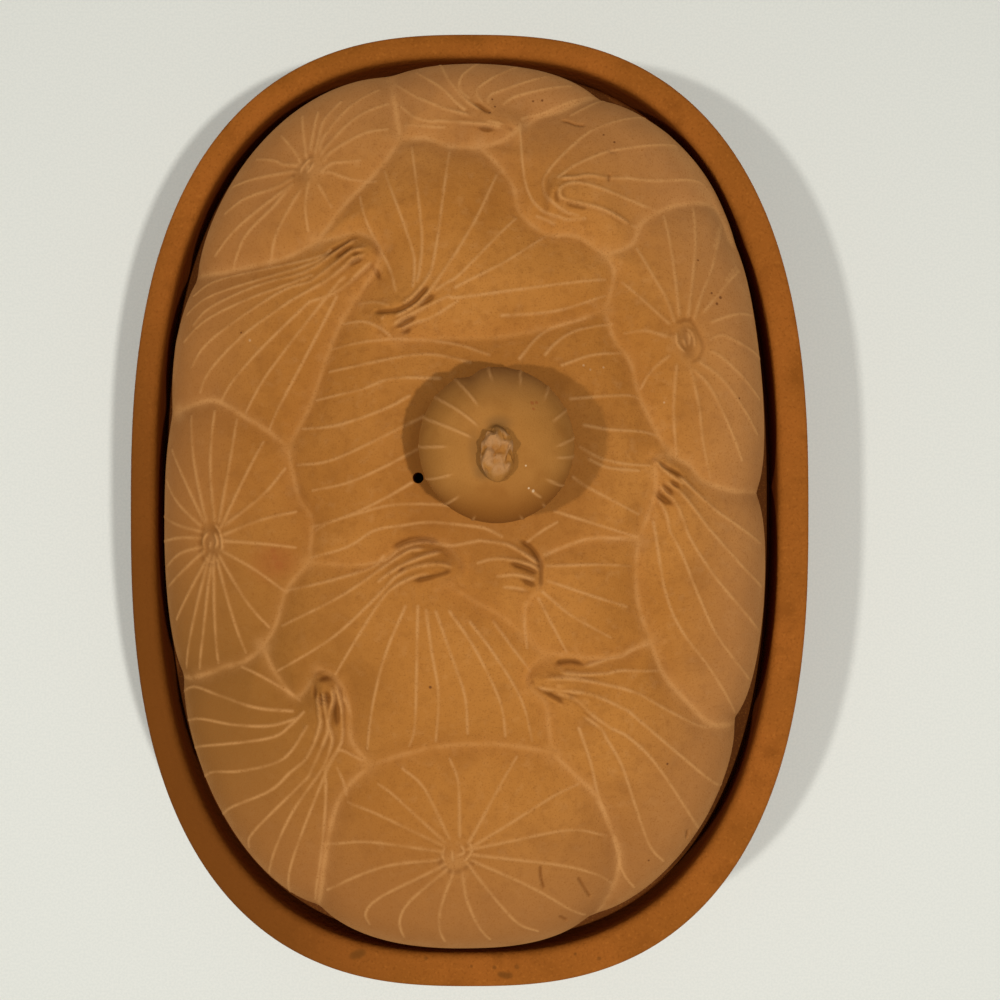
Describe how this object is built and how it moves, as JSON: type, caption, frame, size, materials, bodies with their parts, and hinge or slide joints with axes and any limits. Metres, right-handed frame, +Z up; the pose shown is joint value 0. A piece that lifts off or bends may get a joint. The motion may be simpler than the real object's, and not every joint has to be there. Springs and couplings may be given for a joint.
{
  "type": "terracotta onion baker",
  "caption": "Oval terracotta baking dish with a lift-off domed lid shaped as a heap of onions, an onion knob and a small steam vent.",
  "frame": {"origin": "middle of the dish's flat base, on the surface it stands on", "axes": "+Z up, +Y along the oval dish, +X across it"},
  "size_m": [0.2726, 0.3824, 0.1747],
  "materials": {
    "dish_clay": "smooth unglazed terracotta, satin",
    "lid_clay": "matt unglazed terracotta with paler raised veins",
    "knob_clay": "matt unglazed terracotta, broken pale stem end"
  },
  "bodies": {
    "dish": {"dish": "dish_clay"},
    "lid": {"lid": "lid_clay", "knob": "knob_clay"}
  },
  "joints": [
    {"name": "lid_lift", "type": "slide", "parent": "dish", "child": "lid", "axis": [0, 0, 1], "range_m": [0, 0.12]}
  ]
}
